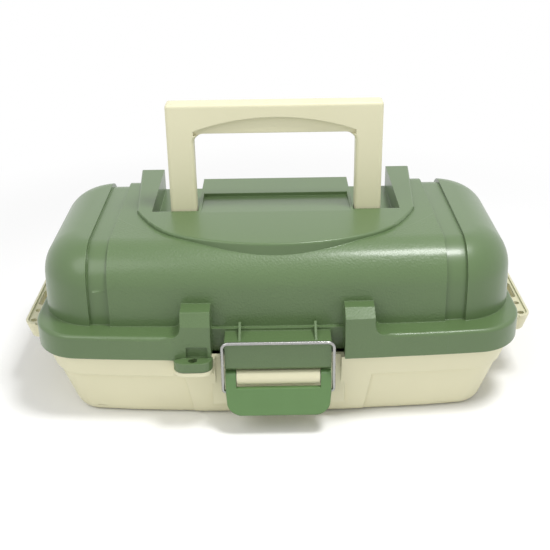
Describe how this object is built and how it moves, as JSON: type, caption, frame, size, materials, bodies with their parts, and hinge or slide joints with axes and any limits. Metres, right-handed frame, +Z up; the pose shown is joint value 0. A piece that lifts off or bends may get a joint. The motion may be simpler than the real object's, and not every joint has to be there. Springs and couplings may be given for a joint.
{
  "type": "tackle box",
  "caption": "Moulded tackle box with a domed lid on a rear hinge, a draw latch, a carry handle that folds into the lid and a divided tray that lifts back as the lid opens.",
  "frame": {"origin": "on the ground under the middle of the case, at the flat underside of the tub", "axes": "+X to the right seen from the latch, +Y to the back hinge, +Z up"},
  "size_m": [0.36, 0.2189, 0.198],
  "materials": {
    "beige_plastic": "satin moulded",
    "green_plastic": "fine leather grain, smooth bands",
    "lever_plastic": "satin moulded",
    "tray_plastic": "satin moulded",
    "bright_steel": "drawn wire, bright zinc"
  },
  "bodies": {
    "tub": {"base_tub": "beige_plastic", "latch_hinge_pin": "bright_steel", "hinge_pin_left": "bright_steel", "hinge_pin_right": "bright_steel", "arm_tub_rivet_left": "bright_steel", "arm_tub_rivet_right": "bright_steel"},
    "lid": {"lid_shell": "green_plastic", "tray_lid_rivet_left": "bright_steel", "tray_lid_rivet_right": "bright_steel"},
    "handle": {"carry_handle": "beige_plastic", "handle_pin_left": "bright_steel", "handle_pin_right": "bright_steel"},
    "lever": {"latch_lever": "lever_plastic"},
    "bail": {"latch_bail": "bright_steel"},
    "tray": {"tray_shell": "tray_plastic", "arm_tray_rivet_left": "bright_steel", "arm_tray_rivet_right": "bright_steel", "tray_divider_1": "tray_plastic", "tray_divider_2": "tray_plastic", "tray_divider_3": "tray_plastic", "tray_divider_4": "tray_plastic", "tray_divider_5": "tray_plastic", "tray_divider_6": "tray_plastic"},
    "arm_left": {"link_arm_left": "tray_plastic"},
    "arm_right": {"link_arm_right": "tray_plastic"}
  },
  "joints": [
    {"name": "lid_hinge", "type": "hinge", "parent": "tub", "child": "lid", "pos_m": [0, 0.1035, 0.052], "axis": [-1, 0, 0], "range_deg": [0, 100]},
    {"name": "tray_pivot", "type": "hinge", "parent": "lid", "child": "tray", "pos_m": [0, 0.04, 0.075], "axis": [-1, 0, 0], "range_deg": [-100, 0]},
    {"name": "arm_left_pivot", "type": "hinge", "parent": "tub", "child": "arm_left", "pos_m": [0, 0.0435, 0.033], "axis": [-1, 0, 0], "range_deg": [0, 100]},
    {"name": "arm_right_pivot", "type": "hinge", "parent": "tub", "child": "arm_right", "pos_m": [0, 0.0435, 0.033], "axis": [-1, 0, 0], "range_deg": [0, 100]},
    {"name": "handle_fold", "type": "hinge", "parent": "lid", "child": "handle", "pos_m": [0, -0.002, 0.112], "axis": [-1, 0, 0], "range_deg": [0, 90]},
    {"name": "lever_swing", "type": "hinge", "parent": "tub", "child": "lever", "pos_m": [0, -0.098, 0.038], "axis": [-1, 0, 0], "range_deg": [0, 100]},
    {"name": "bail_turn", "type": "hinge", "parent": "lever", "child": "bail", "pos_m": [0, -0.1029, 0.0295], "axis": [-1, 0, 0], "range_deg": [-100, 0]}
  ],
  "couplings": [
    {"joint": "tray_pivot", "follows": "lid_hinge", "ratio": -1},
    {"joint": "arm_left_pivot", "follows": "lid_hinge", "ratio": 1},
    {"joint": "arm_right_pivot", "follows": "lid_hinge", "ratio": 1},
    {"joint": "bail_turn", "follows": "lever_swing", "ratio": -1}
  ]
}
